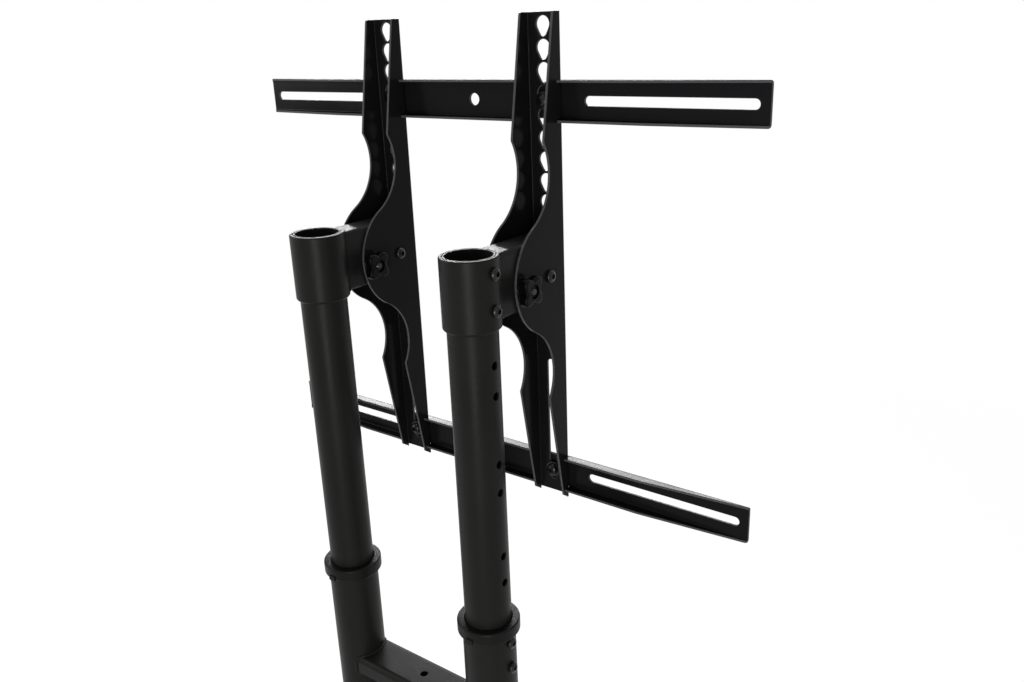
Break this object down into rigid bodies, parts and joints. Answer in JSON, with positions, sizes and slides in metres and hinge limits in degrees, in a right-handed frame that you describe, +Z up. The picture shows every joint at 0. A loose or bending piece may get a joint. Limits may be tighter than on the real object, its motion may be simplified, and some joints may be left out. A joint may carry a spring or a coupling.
{
  "type": "tv floor stand",
  "caption": "Floor stand for a television: telescoping twin posts on a base, scalloped tilting brackets and slotted cross rails.",
  "frame": {"origin": "on the floor, midway between the two posts", "axes": "+Z up, X from post to post, the television hangs on the -Y side"},
  "size_m": [0.68, 0.5006, 1.2102],
  "materials": {
    "tube_coat": "fine textured satin black powder coat",
    "sheet_coat": "smooth satin black powder coat",
    "moulded_plastic": "fine grained black",
    "knob_plastic": "black",
    "bolt_steel": "black oxide",
    "pad_rubber": "matt black"
  },
  "bodies": {
    "base": {"base_beam": "tube_coat", "crossbar": "tube_coat", "foot_rail_left": "tube_coat", "lower_tube_left": "tube_coat", "collar_left": "moulded_plastic", "lock_bolt_left_1": "bolt_steel", "lock_bolt_left_2": "bolt_steel", "end_cap_left_front": "moulded_plastic", "foot_pad_left_front": "pad_rubber", "end_cap_left_rear": "moulded_plastic", "foot_pad_left_rear": "pad_rubber", "foot_rail_right": "tube_coat", "lower_tube_right": "tube_coat", "collar_right": "moulded_plastic", "lock_bolt_right_1": "bolt_steel", "lock_bolt_right_2": "bolt_steel", "end_cap_right_front": "moulded_plastic", "foot_pad_right_front": "pad_rubber", "end_cap_right_rear": "moulded_plastic", "foot_pad_right_rear": "pad_rubber"},
    "carriage": {"upper_tube_left": "tube_coat", "guide_bush_left": "moulded_plastic", "sleeve_left": "tube_coat", "arm_left": "tube_coat", "sleeve_bolt_left_1": "bolt_steel", "sleeve_bolt_left_2": "bolt_steel", "pivot_bolt_left": "bolt_steel", "pivot_nut_left": "bolt_steel", "knob_bolt_left": "bolt_steel", "knob_washer_left": "bolt_steel", "upper_tube_right": "tube_coat", "guide_bush_right": "moulded_plastic", "sleeve_right": "tube_coat", "arm_right": "tube_coat", "sleeve_bolt_right_1": "bolt_steel", "sleeve_bolt_right_2": "bolt_steel", "pivot_bolt_right": "bolt_steel", "pivot_nut_right": "bolt_steel", "knob_bolt_right": "bolt_steel", "knob_washer_right": "bolt_steel"},
    "mount_frame": {"upper_rail": "sheet_coat", "lower_rail": "sheet_coat", "bracket_left": "sheet_coat", "rail_bolt_upper_left": "bolt_steel", "rail_washer_upper_left": "bolt_steel", "rail_nut_upper_left": "bolt_steel", "rail_bolt_lower_left": "bolt_steel", "rail_washer_lower_left": "bolt_steel", "rail_nut_lower_left": "bolt_steel", "bracket_right": "sheet_coat", "rail_bolt_upper_right": "bolt_steel", "rail_washer_upper_right": "bolt_steel", "rail_nut_upper_right": "bolt_steel", "rail_bolt_lower_right": "bolt_steel", "rail_washer_lower_right": "bolt_steel", "rail_nut_lower_right": "bolt_steel"},
    "knob_left": {"tilt_knob_left": "knob_plastic"},
    "knob_right": {"tilt_knob_right": "knob_plastic"}
  },
  "joints": [
    {"name": "height_slide", "type": "slide", "parent": "base", "child": "carriage", "axis": [0, 0, 1], "range_m": [-0.3096, 0]},
    {"name": "tilt", "type": "hinge", "parent": "carriage", "child": "mount_frame", "pos_m": [0, -0.1003, 0.9602], "axis": [1, 0, 0], "range_deg": [-8, 15]},
    {"name": "knob_turn_left", "type": "hinge", "parent": "carriage", "child": "knob_left", "pos_m": [-0.1265, -0.05336, 0.95774], "axis": [-1, 0, 0], "range_deg": [0, 360]},
    {"name": "knob_turn_right", "type": "hinge", "parent": "carriage", "child": "knob_right", "pos_m": [0.0795, -0.05336, 0.95774], "axis": [-1, 0, 0], "range_deg": [0, 360]}
  ]
}
